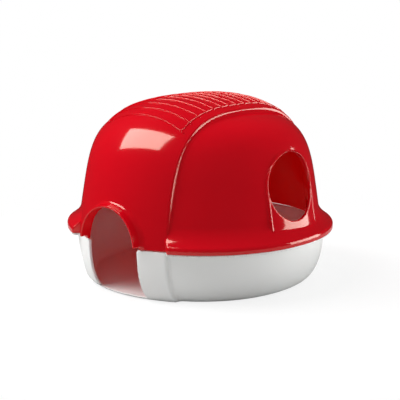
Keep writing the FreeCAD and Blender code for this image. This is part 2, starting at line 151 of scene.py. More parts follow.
@dataclass(frozen=True)
class Net:
    """A fine mesh laid on the zero surface of a distance rule.

    Attributes:
        pitch: Spacing of the net, in millimetres.
        low: Lowest corner of the space searched, in millimetres.
        high: Highest corner of that space.
        most_triangles: The mesh is thinned to about this many.
        layers_at_once: Layers that are worked out together, to save memory.
        feeler: Half the distance over which a slope is measured, in millimetres.
        first_rounds: Moves onto the surface before the mesh is thinned.
        last_rounds: Moves onto it afterwards.
    """

    pitch: float
    low: tuple[float, float, float]
    high: tuple[float, float, float]
    most_triangles: int
    layers_at_once: int = 16
    feeler: float = 0.04
    first_rounds: int = 3
    last_rounds: int = 2

    def _lattice(self) -> list[np.ndarray]:
        """Gives the positions of the lattice planes along each axis."""
        return [np.arange(start, stop + self.pitch, self.pitch, dtype=np.float32)
                for start, stop in zip(self.low, self.high)]

    def _sample(self, rule: Rule) -> np.ndarray:
        """Works out the rule's value at every lattice point, a few layers at a time.

        Args:
            rule: Distances outside the form.

        Returns:
            The values, by their place across, along and upwards.
        """
        across, along, upwards = self._lattice()
        grid_x, grid_y = np.meshgrid(across, along, indexing="ij")
        layers = []
        for start in range(0, len(upwards), self.layers_at_once):
            part = upwards[start:start + self.layers_at_once]
            shape = grid_x.shape + (len(part),)
            values = rule(np.broadcast_to(grid_x[..., None], shape),
                          np.broadcast_to(grid_y[..., None], shape),
                          np.broadcast_to(part, shape))
            layers.append(values.astype(np.float32))
        return np.concatenate(layers, axis=2)

    @staticmethod
    def _crossed_cells(inside: np.ndarray) -> np.ndarray:
        """Finds the cells that have corners both inside and outside the form.

        Args:
            inside: True at each lattice point that lies inside.

        Returns:
            True at each cell that the surface crosses.
        """
        ends = (slice(0, -1), slice(1, None))
        held = np.zeros(tuple(count - 1 for count in inside.shape), dtype=np.int8)
        corners = [(i, j, k) for i in ends for j in ends for k in ends]
        for corner in corners:
            held += inside[corner]
        return (held > 0) & (held < len(corners))

    def _points(self, values: np.ndarray, active: np.ndarray) -> np.ndarray:
        """Sets one point in each crossed cell, amid its edges' crossings.

        Args:
            values: The rule's value at every lattice point.
            active: The places of the crossed cells.

        Returns:
            Points in millimetres.
        """
        total = np.zeros((len(active), 3))
        crossings = np.zeros(len(active))
        for axis in range(3):
            for first in range(2):
                for second in range(2):
                    offset = np.zeros(3, dtype=np.int64)
                    offset[(axis + 1) % 3] = first
                    offset[(axis + 2) % 3] = second
                    start = active + offset
                    stop = start.copy()
                    stop[:, axis] += 1
                    before = values[tuple(start.T)]
                    after = values[tuple(stop.T)]
                    crossed = (before < 0) != (after < 0)
                    share = np.where(crossed, before / np.where(crossed, before - after, 1), 0)
                    point = start.astype(float)
                    point[:, axis] += share
                    total += point * crossed[:, None]
                    crossings += crossed
        return np.array(self.low) + total / crossings[:, None] * self.pitch

    def _net(self, values: np.ndarray) -> tuple[np.ndarray, np.ndarray]:
        """Finds the net's points and four-sided faces.

        Args:
            values: The rule's value at every lattice point.

        Returns:
            Points in millimetres, and the four point numbers of each face.
        """
        inside = values < 0
        held = self._crossed_cells(inside)
        active = np.argwhere(held)
        numbers = np.full(held.shape, -1, dtype=np.int64)
        numbers[tuple(active.T)] = np.arange(len(active))
        quads = []
        for axis in range(3):
            lower = [slice(None)] * 3
            upper = [slice(None)] * 3
            lower[axis] = slice(0, -1)
            upper[axis] = slice(1, None)
            starts = inside[tuple(lower)]
            edges = np.argwhere(starts != inside[tuple(upper)])
            side_a, side_b = (axis + 1) % 3, (axis + 2) % 3
            room = (edges[:, side_a] > 0) & (edges[:, side_b] > 0)
            room &= edges[:, side_a] < held.shape[side_a]
            room &= edges[:, side_b] < held.shape[side_b]
            edges = edges[room]
            ring = []
            for step_a, step_b in ((-1, -1), (0, -1), (0, 0), (-1, 0)):
                cell = edges.copy()
                cell[:, side_a] += step_a
                cell[:, side_b] += step_b
                ring.append(numbers[tuple(cell.T)])
            quad = np.stack(ring, axis=1)
            flip = ~starts[tuple(edges.T)]
            quad[flip] = quad[flip][:, ::-1]
            quads.append(quad)
        return self._points(values, active), np.concatenate(quads)

    @classmethod
    def slope(cls, rule: Rule, points: np.ndarray) -> tuple[np.ndarray, np.ndarray]:
        """Measures a rule and which way it rises.

        Args:
            rule: Distances outside the form.
            points: Where to measure, in millimetres.

        Returns:
            The rule's value and its unit gradient at each point.
        """
        value = rule(*points.T)
        gradient = np.empty_like(points)
        for axis in range(3):
            shift = np.zeros(3)
            shift[axis] = cls.feeler
            gradient[:, axis] = rule(*(points + shift).T) - rule(*(points - shift).T)
        length = np.linalg.norm(gradient, axis=1)
        gradient /= np.maximum(length, LEAST_TOTAL)[:, None]
        return value, gradient

    def _settled(self, rule: Rule, points: np.ndarray, rounds: int) -> np.ndarray:
        """Moves points onto the rule's surface, never by more than half a pitch at once.

        Args:
            rule: Distances outside the form.
            points: The points, in millimetres.
            rounds: How many times they are moved.

        Returns:
            The moved points.
        """
        for _ in range(rounds):
            value, gradient = self.slope(rule, points)
            move = np.clip(value, -self.pitch / 2, self.pitch / 2)
            points = points - move[:, None] * gradient
        return points

    def lay(self, name: str, rule: Rule, shift: tuple[float, float, float]) -> bpy.types.Object:
        """Makes the mesh object.

        Args:
            name: Name of the object.
            rule: Distances outside the form, in millimetres.
            shift: Where the form's own origin lies in the frame, in millimetres.

        Returns:
            The object, linked to the scene, in metres.
        """
        points, quads = self._net(self._sample(rule))
        points = self._settled(rule, points, self.first_rounds)
        mesh = bpy.data.meshes.new(name)
        mesh.from_pydata(points.tolist(), [], quads.tolist())
        piece = bpy.data.objects.new(name, mesh)
        bpy.context.scene.collection.objects.link(piece)
        triangles = 2 * len(quads)
        if triangles > self.most_triangles:
            thinner = piece.modifiers.new("thinner", "DECIMATE")
            thinner.ratio = self.most_triangles / triangles
            graph = bpy.context.evaluated_depsgraph_get()
            thinned = bpy.data.meshes.new_from_object(piece.evaluated_get(graph))
            piece.modifiers.remove(thinner)
            piece.data = thinned
            bpy.data.meshes.remove(mesh)
            mesh = thinned
            mesh.name = name
        flat = np.empty(len(mesh.vertices) * 3)
        mesh.vertices.foreach_get("co", flat)
        points = self._settled(rule, flat.reshape(-1, 3), self.last_rounds)
        normals = self.slope(rule, points)[1]
        metres = (points + np.array(shift)) * MM
        mesh.vertices.foreach_set("co", metres.ravel())
        mesh.polygons.foreach_set("use_smooth", np.ones(len(mesh.polygons), dtype=bool))
        mesh.update()
        mesh.normals_split_custom_set_from_vertices(normals.tolist())
        count = sum(len(face.vertices) - 2 for face in mesh.polygons)
        LOG.info("%s: %d triangles", name, count)
        return piece


# Finishes

def linear(code: str) -> tuple[float, float, float, float]:
    """Turns an sRGB colour into a linear one, by the sRGB standard's own curve.

    Args:
        code: The hex code, such as #C01020.

    Returns:
        Linear red, green and blue, and an alpha of 1.
    """
    parts = [int(code[start:start + 2], 16) / 255 for start in (1, 3, 5)]
    rgb = [part / 12.92 if part <= 0.04045 else ((part + 0.055) / 1.055) ** 2.4
           for part in parts]
    return rgb[0], rgb[1], rgb[2], 1.0


def add_node(tree: bpy.types.NodeTree, kind: str, settings: dict[str, Any] | None = None,
             links: dict[str, bpy.types.NodeSocket] | None = None) -> bpy.types.Node:
    """Adds one node with its settings and links.

    Args:
        tree: The node tree.
        kind: Blender's name for the node.
        settings: Node properties by their lower-case name, and socket values by theirs.
        links: Input socket names and the output sockets that feed them.

    Returns:
        The node.
    """
    node = tree.nodes.new(kind)
    for name, value in (settings or {}).items():
        if name in node.inputs:
            node.inputs[name].default_value = value
        else:
            setattr(node, name, value)
    for name, socket in (links or {}).items():
        tree.links.new(socket, node.inputs[name])
    return node


@dataclass(frozen=True)
class MouldedPlastic:
    """Injection-moulded polystyrene, straight from a polished mould.

    Attributes:
        name: Name of the material.
        colour: sRGB hex colour of the pigment.
        deep: sRGB hex colour where the resin is a little denser.
        roughness: Roughness of the polished skin.
        gloss: How strongly it mirrors; 0.5 is the plain value for its IOR.
        gloss_tint: sRGB hex colour of what the skin mirrors.
        glow: Share of light that travels on inside the wall.
        glow_reach: How far it travels, in millimetres.
        glow_tint: How far each colour travels, as shares of that.
        passed: Share of the light on each face that goes through to the other side.
        passed_colour: sRGB hex colour of that light.
        ior: Refractive index of polystyrene.
        roughness_spread: Least and most roughness in the clouds, as shares of it.
        swirl_mm: Size of the faint clouds that the flowing resin leaves.
        ripple_mm: Size of the skin's slow ripple, which bends long reflections.
        ripple_height_mm: Height of that ripple.
    """

    name: str
    colour: str
    deep: str
    roughness: float
    gloss: float = 0.5
    gloss_tint: str = "#FFFFFF"
    glow: float = 0.0
    glow_reach: float = 1.0
    glow_tint: tuple[float, float, float] = (1.0, 1.0, 1.0)
    passed: float = 0.0
    passed_colour: str = "#FFFFFF"
    ior: float = 1.59
    roughness_spread: tuple[float, float] = (0.85, 1.25)
    swirl_mm: float = 22.0
    ripple_mm: float = 14.0
    ripple_height_mm: float = 0.02

    def make(self) -> bpy.types.Material:
        """Builds the material.

        Returns:
            The material, with one shader for the skin and, where some light passes, one for the
            light let through.
        """
        material = bpy.data.materials.new(self.name)
        material.use_nodes = True
        tree = material.node_tree
        tree.nodes.clear()
        place = add_node(tree, "ShaderNodeTexCoord")
        swirl = add_node(tree, "ShaderNodeTexNoise",
                         {"Scale": 1 / (self.swirl_mm * MM), "Detail": 3.0, "Roughness": 0.5},
                         {"Vector": place.outputs["Object"]})
        tint = add_node(tree, "ShaderNodeMix",
                        {"data_type": "RGBA"}, {"Factor": swirl.outputs["Fac"]})
        tint.inputs[MIX_A].default_value = linear(self.deep)
        tint.inputs[MIX_B].default_value = linear(self.colour)
        ripple = add_node(tree, "ShaderNodeTexNoise",
                          {"Scale": 1 / (self.ripple_mm * MM), "Detail": 1.0, "Roughness": 0.4},
                          {"Vector": place.outputs["Object"]})
        skin = add_node(tree, "ShaderNodeBump",
                        {"Strength": 1.0, "Distance": self.ripple_height_mm * MM},
                        {"Height": ripple.outputs["Fac"]})
        smoothest, dullest = (self.roughness * share for share in self.roughness_spread)
        clouds = add_node(tree, "ShaderNodeMapRange", {"To Min": smoothest, "To Max": dullest},
                          {"Value": swirl.outputs["Fac"]})
        shader = add_node(tree, "ShaderNodeBsdfPrincipled",
                          {"IOR": self.ior, "Specular IOR Level": self.gloss,
                           "Specular Tint": linear(self.gloss_tint),
                           "Subsurface Weight": self.glow,
                           "Subsurface Radius": self.glow_tint,
                           "Subsurface Scale": self.glow_reach * MM},
                          {"Base Color": tint.outputs[MIX_RESULT],
                           "Roughness": clouds.outputs["Result"],
                           "Normal": skin.outputs["Normal"]})
        surface = shader.outputs["BSDF"]
        if self.passed > 0:
            through = add_node(tree, "ShaderNodeBsdfTranslucent",
                               {"Color": linear(self.passed_colour)})
            mixed = add_node(tree, "ShaderNodeMixShader", {"Fac": self.passed})
            tree.links.new(surface, mixed.inputs[1])
            tree.links.new(through.outputs["BSDF"], mixed.inputs[2])
            surface = mixed.outputs["Shader"]
        add_node(tree, "ShaderNodeOutputMaterial", None, {"Surface": surface})
        return material


# Polystyrene moulded against polished steel: the eye gets a deep red with hard-edged,
# slightly warm mirror patches that bend a little with the skin. The wall is thin enough
# for some light to come through, so the inside glows a dark red and is never black.
RED_PLASTIC = MouldedPlastic(
    name="moulded_red_polystyrene", colour="#E40820", deep="#DD071E", roughness=0.09,
    gloss=0.79, gloss_tint="#FFF4E2", passed=0.30, passed_colour="#FF3A28")

# The same resin filled with white pigment, from a plainer mould: the eye gets a milky,
# even white whose highlights are broad and soft. Light wanders a little way inside it
# before it leaves, which softens the shade at its rim and foot.
WHITE_PLASTIC = MouldedPlastic(
    name="moulded_white_polystyrene", colour="#F8F9F7", deep="#F4F6F3", roughness=0.22,
    glow=0.15, glow_reach=2.0, glow_tint=(1.0, 0.95, 0.9))


# The two mouldings

@dataclass(frozen=True)
class Hood:
    """The red hood: two lobes with a coved flange, the band over them, ribs and openings.

    All sizes are in millimetres and most have the names that the solid's sizes have. A
    "power" is the exponent of an oval or a profile, where 2 is an ellipse and more is
    squarer. A "taper" is the share lost from foot to crown. A "round" is the radius of
    an outward edge, and a "root" is that of the corner where a form meets the skin.
    """

    hood_length: float = 150.0
    hood_depth: float = 145.6
    flange_power: float = 2.08
    flange_base: float = 28.4
    lip_height: float = 3.2
    cove_knee: float = 35.6
    cove_top: float = 41.0
    wall: float = 1.8
    lobe_base: float = 30.4
    lobe_top: float = 94.4
    lobe_length: float = 68.6
    lobe_depth: float = 69.2
    lobe_power: float = 1.97
    lobe_taper_length: float = 0.115
    lobe_taper_depth: float = 0.183
    lobe_rise_power: float = 6.0
    lobe_reach_power: float = 3.77
    band_half_width: float = 32.0
    band_rim: float = 28.7
    band_edge_depth: float = 62.3
    band_bow: float = 9.6
    band_edge_top: float = 96.0
    band_crown_rise: float = 5.8
    band_taper: float = 0.136
    band_rise_power: float = 4.1
    band_reach_power: float = 2.85
    band_edge_round: float = 0.6
    # The band's sides lean inwards by this share of their height, as a mould's draft,
    # from this depth below the skin and over this height.
    band_side_slant: float = 0.09
    band_side_depth: float = 2.0
    band_side_height: float = 3.0
    # The corner at the band's foot is small on the walls and grows over the crown.
    band_root: float = 0.7
    crown_root: float = 2.7
    crown_root_start: float = 88.0
    # The flange's ends slant back to the band: this far inwards for each 1 mm along Y.
    end_slant: float = 1.1
    end_sunk: float = 1.0
    end_round: float = 0.6
    lip_round: float = 0.9
    lip_sunk: float = 6.0
    rib_height: float = 0.5
    rib_width: float = 0.75
    rib_sunk: float = 0.15
    rib_end_height: float = 0.35
    rib_pitch: float = 6.35
    rib_half_length: float = 28.5
    rib_half_run: float = 44.45
    rib_points: int = 61
    rail_points: int = 91
    bead_points: int = 7
    rail_inset: float = 2.0
    collar_front: float = 73.4
    collar_back: float = 40.0
    collar_wall: float = 1.3
    collar_round: float = 0.4
    collar_root: float = 2.2
    collar_foot: float = 1.7
    arch_radius: float = 18.9
    arch_centre: float = 29.8
    window_radius: float = 17.8
    window_height: float = 57.7
    window_reach: float = 65.5
    window_lean: float = 9.9
    pad_margin: float = 0.9
    pad_curve: float = 64.5
    pad_depth: float = 9.0
    pad_round: float = 0.6
    pad_root: float = 0.9
    pad_bead: float = 0.32
    pad_bead_root: float = 0.3
    # The doorway and the window are cut from outside to this far from the middle.
    cut_reach: float = 30.0
    inner_edge_round: float = 0.3
    doorway_round: float = 0.4
    window_round: float = 0.5
    foot_round: float = 0.3
    forward_shift: float = 0.75
    triangles: int = 180000

    def _domes(self, x: np.ndarray, y: np.ndarray, z: np.ndarray) -> np.ndarray:
        """Measures the lobes, without their flange.

        Args:
            x: Positions across the house.
            y: Positions along it.
            z: Heights.

        Returns:
            Distances outside them.
        """
        rise = self.lobe_top - self.lobe_base
        share = np.maximum((z - self.lobe_base) / rise, 0)
        narrow = np.maximum(1 - self.lobe_taper_length * share, LEAST_NARROWING)
        shallow = np.maximum(1 - self.lobe_taper_depth * share, LEAST_NARROWING)
        across = np.abs(x) / (self.lobe_length * narrow)
        along = np.abs(y) / (self.lobe_depth * shallow)
        power = self.lobe_power
        measure = np.maximum((across ** power + along ** power) ** (1 / power), LEAST_DIVISOR)
        out, up = self.lobe_reach_power, self.lobe_rise_power
        total = np.maximum(measure ** out + share ** up, LEAST_TOTAL)
        towards_x = (across / measure) ** (power - 1)
        towards_y = (along / measure) ** (power - 1)
        slope = out * measure ** (out - 1)
        by_x = slope * towards_x / (self.lobe_length * narrow)
        by_y = slope * towards_y / (self.lobe_depth * shallow)
        by_z = slope * (towards_x * across * self.lobe_taper_length / narrow
                        + towards_y * along * self.lobe_taper_depth / shallow) / rise
        by_z = np.where(share > 0, by_z + up * share ** (up - 1) / rise, 0)
        steepness = np.sqrt(by_x ** 2 + by_y ** 2 + by_z ** 2)
        root = total ** (1 / out)
        return (root - 1) * out * total / root / np.maximum(steepness, LEAST_DIVISOR)

    def flange_end(self, x: np.ndarray, y: np.ndarray) -> np.ndarray:
        """Measures the flange's ends, which slant back to the band's edges.

        Args:
            x: Positions across the house.
            y: Positions along it.

        Returns:
            Distances beyond the ends, towards the band.
        """
        slanted = self.end_slant * (np.abs(y) - self.band_edge_depth) + self.band_half_width
        beyond = (slanted - np.abs(x)) / math.hypot(1, self.end_slant)
        return np.maximum(self.band_half_width - self.end_sunk - np.abs(x), beyond)

    def _flange(self, x: np.ndarray, y: np.ndarray, z: np.ndarray) -> np.ndarray:
        """Measures the flange: an upright lip, a slope and a cove into the wall.

        Args:
            x: Positions across the house.
            y: Positions along it.
            z: Heights.

        Returns:
            Distances outside it.
        """
        reach = np.hypot(x, y)
        rim = reach / oval_measure(x, y, self.hood_length / 2, self.hood_depth / 2,
                                   self.flange_power)
        share = np.maximum((z - self.lobe_base) / (self.lobe_top - self.lobe_base), 0)
        wall = reach / oval_measure(x, y,
                                    self.lobe_length * (1 - self.lobe_taper_length * share),
                                    self.lobe_depth * (1 - self.lobe_taper_depth * share),
                                    self.lobe_power)
        lip_top = self.flange_base + self.lip_height
        bend = lip_top - 2 * self.cove_knee + self.cove_top
        rate = 2 * (self.cove_knee - lip_top)
        height = np.clip(z, lip_top - self.lip_sunk, self.cove_top)
        turn = (-rate + np.sqrt(rate ** 2 - 4 * bend * (lip_top - height))) / (2 * bend)
        outwards = (1 - turn) ** 2
        fall = 2 * (1 - turn) / (rate + 2 * bend * turn) * (rim - wall)
        sloped = (reach - wall - outwards * (rim - wall)) / np.sqrt(1 + fall ** 2)
        lip = eased_both(reach - rim, sloped, self.lip_round)
        lip = eased_both(lip, self.flange_end(x, y), self.end_round)
        return np.maximum(lip, z - self.cove_top)

    def _band(self, x: np.ndarray, y: np.ndarray, z: np.ndarray) -> np.ndarray:
        """Measures the band that runs over the house.

        Args:
            x: Positions across the house.
            y: Positions along it.
            z: Heights.

        Returns:
            Distances outside it.
        """
        middle = 1 - np.minimum((x / self.band_half_width) ** 2, MOST_BOW_LOST)
        depth = self.band_edge_depth + self.band_bow * middle
        rise = self.band_edge_top + self.band_crown_rise * middle - self.band_rim
        share = np.maximum((z - self.band_rim) / rise, 0)
        shallow = np.maximum(1 - self.band_taper * share, LEAST_NARROWING)
        along = np.maximum(np.abs(y) / (depth * shallow), LEAST_DIVISOR)
        out, up = self.band_reach_power, self.band_rise_power
        total = np.maximum(along ** out + share ** up, LEAST_TOTAL)
        by_y = out * along ** (out - 1) / (depth * shallow)
        by_z = out * along ** out * self.band_taper / shallow / rise
        by_z = np.where(share > 0, by_z + up * share ** (up - 1) / rise, 0)
        curl = -2 * x / self.band_half_width ** 2
        by_x = out * along ** out * self.band_bow * curl / depth
        by_x = by_x + up * share ** up * self.band_crown_rise * curl / rise
        steepness = np.sqrt(by_x ** 2 + by_y ** 2 + by_z ** 2)
        root = total ** (1 / out)
        skin = (root - 1) * out * total / root / np.maximum(steepness, LEAST_DIVISOR)
        climb = np.clip(skin + self.band_side_depth, 0, self.band_side_height)
        side = np.abs(x) - self.band_half_width + self.band_side_slant * climb
        return eased_both(skin, side, self.band_edge_round)

    def _pad(self, x: np.ndarray, y: np.ndarray,
             z: np.ndarray) -> tuple[np.ndarray, np.ndarray]:
        """Measures the leaning pad round the window and the bead along its outline.

        Args:
            x: Positions across the house.
            y: Positions along it.
            z: Heights.

        Returns:
            Distances outside the pad, which is curved in plan, and outside the bead.
        """
        lean = math.radians(self.window_lean)
        beyond, above = x - self.window_reach, z - self.window_height
        out = beyond * math.cos(lean) + above * math.sin(lean)
        out = np.hypot(out + self.pad_curve, y) - self.pad_curve
        up = above * math.cos(lean) - beyond * math.sin(lean)
        outline = arch_distance(y, up, self.window_radius + self.pad_margin)
        pad = np.maximum(eased_both(out, outline, self.pad_round), -out - self.pad_depth)
        return pad, np.hypot(out, outline) - self.pad_bead

    def _collar(self, x: np.ndarray, y: np.ndarray, z: np.ndarray) -> np.ndarray:
        """Measures the collar round the entrance, filled in.

        Args:
            x: Positions across the house.
            y: Positions along it.
            z: Heights.

        Returns:
            Distances outside it.
        """
        collar = arch_distance(x, z - self.arch_centre, self.arch_radius + self.collar_wall)
        collar = eased_both(collar, -y - self.collar_front, self.collar_round)
        collar = np.maximum(collar, y + self.collar_back)
        return eased_both(collar, self.band_rim + self.collar_foot - z, self.collar_round)

    def distance(self, x: np.ndarray, y: np.ndarray, z: np.ndarray) -> np.ndarray:
        """Measures the whole hood: its skin, less its hollow and its openings.

        Args:
            x: Positions across the house.
            y: Positions along it.
            z: Heights.

        Returns:
            Distances outside it.
        """
        lobes = np.minimum(self._domes(x, y, z), self._flange(x, y, z))
        over_crown = self.band_edge_top - self.crown_root_start
        climb = np.clip((z - self.crown_root_start) / over_crown, 0, 1)
        root = self.band_root + (self.crown_root - self.band_root) * climb
        skin = eased_either(lobes, self._band(x, y, z), root)
        pad, bead = self._pad(x, y, z)
        skin = eased_either(skin, pad, self.pad_root)
        hollow = skin + self.wall
        skin = eased_either(skin, bead, self.pad_bead_root)
        skin = eased_either(skin, self._collar(x, y, z), self.collar_root)
        shell = eased_both(skin, -hollow, self.inner_edge_round)
        doorway = arch_distance(x, z - self.arch_centre, self.arch_radius)
        doorway = np.maximum(doorway, y + self.cut_reach)
        shell = eased_both(shell, -doorway, self.doorway_round)
        window = np.hypot(y, z - self.window_height) - self.window_radius
        window = np.maximum(window, self.cut_reach - x)
        shell = eased_both(shell, -window, self.window_round)
        under_band = np.clip(self.band_half_width - np.abs(x), 0, 1)
        foot = self.flange_base + (self.band_rim - self.flange_base) * under_band
        return eased_both(shell, foot - z, self.foot_round)

    def crown_height(self, x: np.ndarray, y: np.ndarray) -> np.ndarray:
        """Finds the height of the band's skin over points in plan, by halving.

        Args:
            x: Positions across the house.
            y: Positions along it.

        Returns:
            The heights.
        """
        searched_below_edge, halvings = 30, 30
        low = np.full_like(x, self.band_edge_top - searched_below_edge)
        high = np.full_like(x, self.band_edge_top + self.band_crown_rise + 1)
        for _ in range(halvings):
            mid = (low + high) / 2
            outside = self._band(x, y, mid) > 0
            high = np.where(outside, mid, high)
            low = np.where(outside, low, mid)
        return (low + high) / 2

    def _rib_lines(self) -> list[tuple[np.ndarray, np.ndarray]]:
        """Sets out the ribs in plan: long ones across and the two rails that tie them.

        Returns:
            The positions across and along of each one's centre line.
        """
        lines = []
        rows = int(round(2 * self.rib_half_run / self.rib_pitch))
        for along in np.linspace(-self.rib_half_run, self.rib_half_run, rows + 1):
            across = np.linspace(-self.rib_half_length, self.rib_half_length, self.rib_points)
            lines.append((across, np.full_like(across, along)))
        rail = self.rib_half_length - self.rail_inset
        for place in (-rail, rail):
            run = np.linspace(-self.rib_half_run, self.rib_half_run, self.rail_points)
            lines.append((np.full_like(run, place), run))
        return lines

    def _bead(self, across: np.ndarray, along: np.ndarray) -> np.ndarray:
        """Works out the half-round section of one rib at each point of its centre line.

        Args:
            across: The centre line's positions across the house.
            along: Its positions along it.

        Returns:
            The sections' corners, by point, corner and axis. The two ends are lower.
        """
        points = np.stack([across, along, self.crown_height(across, along)], axis=1)
        normals = Net.slope(self._band, points)[1]
        ahead = np.gradient(points, axis=0)
        ahead /= np.linalg.norm(ahead, axis=1)[:, None]
        side = np.cross(ahead, normals)
        height = np.full(len(points), self.rib_height + self.rib_sunk)
        height[[0, -1]] *= self.rib_end_height
        turn = np.linspace(0, math.pi, self.bead_points)[:, None]
        out = side[:, None] * np.cos(turn) * self.rib_width / 2
        up = normals[:, None] * (np.sin(turn) * height[:, None, None] - self.rib_sunk)
        return points[:, None] + out + up

    def ribs(self) -> bpy.types.Object:
        """Makes the grip ribs: half-round beads that follow the band's skin.

        Returns:
            The ribs and their rails, as one object.
        """
        corners: list[list[float]] = []
        faces: list[list[int]] = []
        steps = self.bead_points
        for across, along in self._rib_lines():
            bead = (self._bead(across, along) + (0, self.forward_shift, 0)) * MM
            first = len(corners)
            corners.extend(bead.reshape(-1, 3).tolist())
            last = len(corners) - steps
            for section in range(first, last, steps):
                for near in range(section, section + steps - 1):
                    faces.append([near, near + 1, near + steps + 1, near + steps])
            faces.append(list(range(first, first + steps))[::-1])
            faces.append(list(range(last, last + steps)))
        mesh = bpy.data.meshes.new("hood_ribs")
        mesh.from_pydata(corners, [], faces)
        mesh.polygons.foreach_set("use_smooth", np.ones(len(mesh.polygons), dtype=bool))
        mesh.update()
        piece = bpy.data.objects.new("hood_ribs", mesh)
        bpy.context.scene.collection.objects.link(piece)
        return piece

    def build(self, material: bpy.types.Material) -> list[bpy.types.Object]:
        """Makes the hood's pieces and gives them their finish.

        Args:
            material: The red plastic.

        Returns:
            The shell and the ribs.
        """
        half = self.hood_length / 2 + 1
        top = self.band_edge_top + self.band_crown_rise + 1
        net = Net(NET_PITCH, (-half, -self.collar_front - 1, self.flange_base - 1),
                  (half, self.hood_depth / 2 + 1, top), self.triangles)
        shell = net.lay("hood_shell", self.distance, (0, self.forward_shift, 0))
        ribs = self.ribs()
        for piece in (shell, ribs):
            piece.data.materials.append(material)
            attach(piece, Body.HOUSE.value)
        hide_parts("hood")
        return [shell, ribs]


@dataclass(frozen=True)
class Tray:
    """The white tray: a bowl crossed by the band's lower part, a rim and a locating edge.

    All sizes are in millimetres, named as the hood's are. The "upstand" is the locating
    edge that stands inside the hood.
    """

    hood: Hood
    wall: float = 1.8
    top_length: float = 70.4
    top_depth: float = 65.8
    flare_length: float = 11.7
    flare_depth: float = 7.6
    plan_power: float = 2.1
    rise_power: float = 2.4
    reach_power: float = 1.77
    band_flare: float = 9.4
    band_foot_bow: float = 8.1
    rim_thickness: float = 1.2
    rim_setback: float = 0.6
    upstand_height: float = 2.2
    upstand_thickness: float = 1.2
    fit_gap: float = 0.3
    doorway_half_width: float = 17.6
    sill_height: float = 1.8
    cut_reach: float = 30.0
    rim_round: float = 0.3
    rim_root: float = 0.6
    top_round: float = 0.25
    upstand_round: float = 0.3
    upstand_root: float = 0.2
    doorway_round: float = 0.35
    band_edge_round: float = 0.9
    band_root: float = 0.8
    triangles: int = 120000

    def _flared(self, out: np.ndarray, flare: np.ndarray, z: np.ndarray) -> np.ndarray:
        """Measures a wall that flares from a rounded foot.

        Args:
            out: How far a point lies beyond the wall's foot, in plan.
            flare: How far the wall's top lies beyond its foot there.
            z: Heights.

        Returns:
            Distances outside the wall.
        """
        height = self.hood.flange_base
        over = np.maximum(out / flare, 0)
        left = np.maximum(1 - z / height, 0)
        total = np.maximum(over ** self.reach_power + left ** self.rise_power, LEAST_TOTAL)
        by_out = self.reach_power * over ** (self.reach_power - 1) / flare
        by_z = self.rise_power * left ** (self.rise_power - 1) / height
        steepness = np.maximum(np.hypot(by_out, by_z), LEAST_DIVISOR)
        root = total ** (1 / self.reach_power)
        return (root - 1) * self.reach_power * total / root / steepness

    def _body(self, x: np.ndarray, y: np.ndarray, z: np.ndarray) -> np.ndarray:
        """Measures the bowl and the band that crosses it, filled in and endless upwards.

        Args:
            x: Positions across the house.
            y: Positions along it.
            z: Heights.

        Returns:
            Distances outside them.
        """
        reach = np.hypot(x, y) + LEAST_DIVISOR
        top = reach / oval_measure(x, y, self.top_length, self.top_depth, self.plan_power)
        foot = reach / oval_measure(x, y, self.top_length - self.flare_length,
                                    self.top_depth - self.flare_depth, self.plan_power)
        bowl = self._flared(reach - foot, top - foot, z)
        middle = 1 - np.minimum((x / self.hood.band_half_width) ** 2, MOST_BOW_LOST)
        edge = self.hood.band_edge_depth + self.hood.band_bow * middle
        base = self.hood.band_edge_depth - self.band_flare + self.band_foot_bow * middle
        band = self._flared(np.abs(y) - base, edge - base, z)
        side = np.abs(x) - self.hood.band_half_width + self.fit_gap
        band = eased_both(band, side, self.band_edge_round)
        return np.maximum(eased_either(bowl, band, self.band_root), -z)

    def distance(self, x: np.ndarray, y: np.ndarray, z: np.ndarray) -> np.ndarray:
        """Measures the whole tray: its shell, its rim, its locating edge and its doorway.

        Args:
            x: Positions across the house.
            y: Positions along it.
            z: Heights.

        Returns:
            Distances outside it.
        """
        hood, height = self.hood, self.hood.flange_base
        rim_foot = height - self.rim_thickness - z
        body = self._body(x, y, z)
        reach = np.hypot(x, y) + LEAST_DIVISOR
        rim = reach - reach / oval_measure(x, y, hood.hood_length / 2 - self.rim_setback,
                                           hood.hood_depth / 2 - self.rim_setback,
                                           hood.flange_power)
        rim = eased_both(np.maximum(rim, hood.flange_end(x, y)), rim_foot, self.rim_round)
        shell = eased_both(eased_either(body, rim, self.rim_root), z - height, self.top_round)
        shell = eased_both(shell, -(body + self.wall), self.top_round)
        wall = reach - reach / oval_measure(x, y, self.top_length, self.top_depth,
                                            self.plan_power)
        edge = np.maximum(wall + self.fit_gap, -wall - self.fit_gap - self.upstand_thickness)
        edge = np.maximum(edge, hood.band_half_width + self.wall + self.fit_gap - np.abs(x))
        edge = eased_both(edge, z - height - self.upstand_height, self.upstand_round)
        edge = np.maximum(edge, rim_foot)
        shell = eased_either(shell, edge, self.upstand_root)
        doorway = np.maximum(np.abs(x) - self.doorway_half_width, y + self.cut_reach)
        doorway = np.maximum(doorway, self.sill_height - z)
        return eased_both(shell, -doorway, self.doorway_round)

    def build(self, material: bpy.types.Material) -> bpy.types.Object:
        """Makes the tray and gives it its finish.

        Args:
            material: The white plastic.

        Returns:
            The tray's shell.
        """
        half = self.hood.hood_length / 2 + 1
        depth = self.hood.hood_depth / 2 + 1
        top = self.hood.flange_base + self.upstand_height + 1
        net = Net(NET_PITCH, (-half, -depth, -1.0), (half, depth, top), self.triangles)
        shell = net.lay("tray_shell", self.distance, (0, self.hood.forward_shift, 0))
        shell.data.materials.append(material)
        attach(shell, Body.HOUSE.value)
        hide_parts("base_tray")
        return shell


# The studio

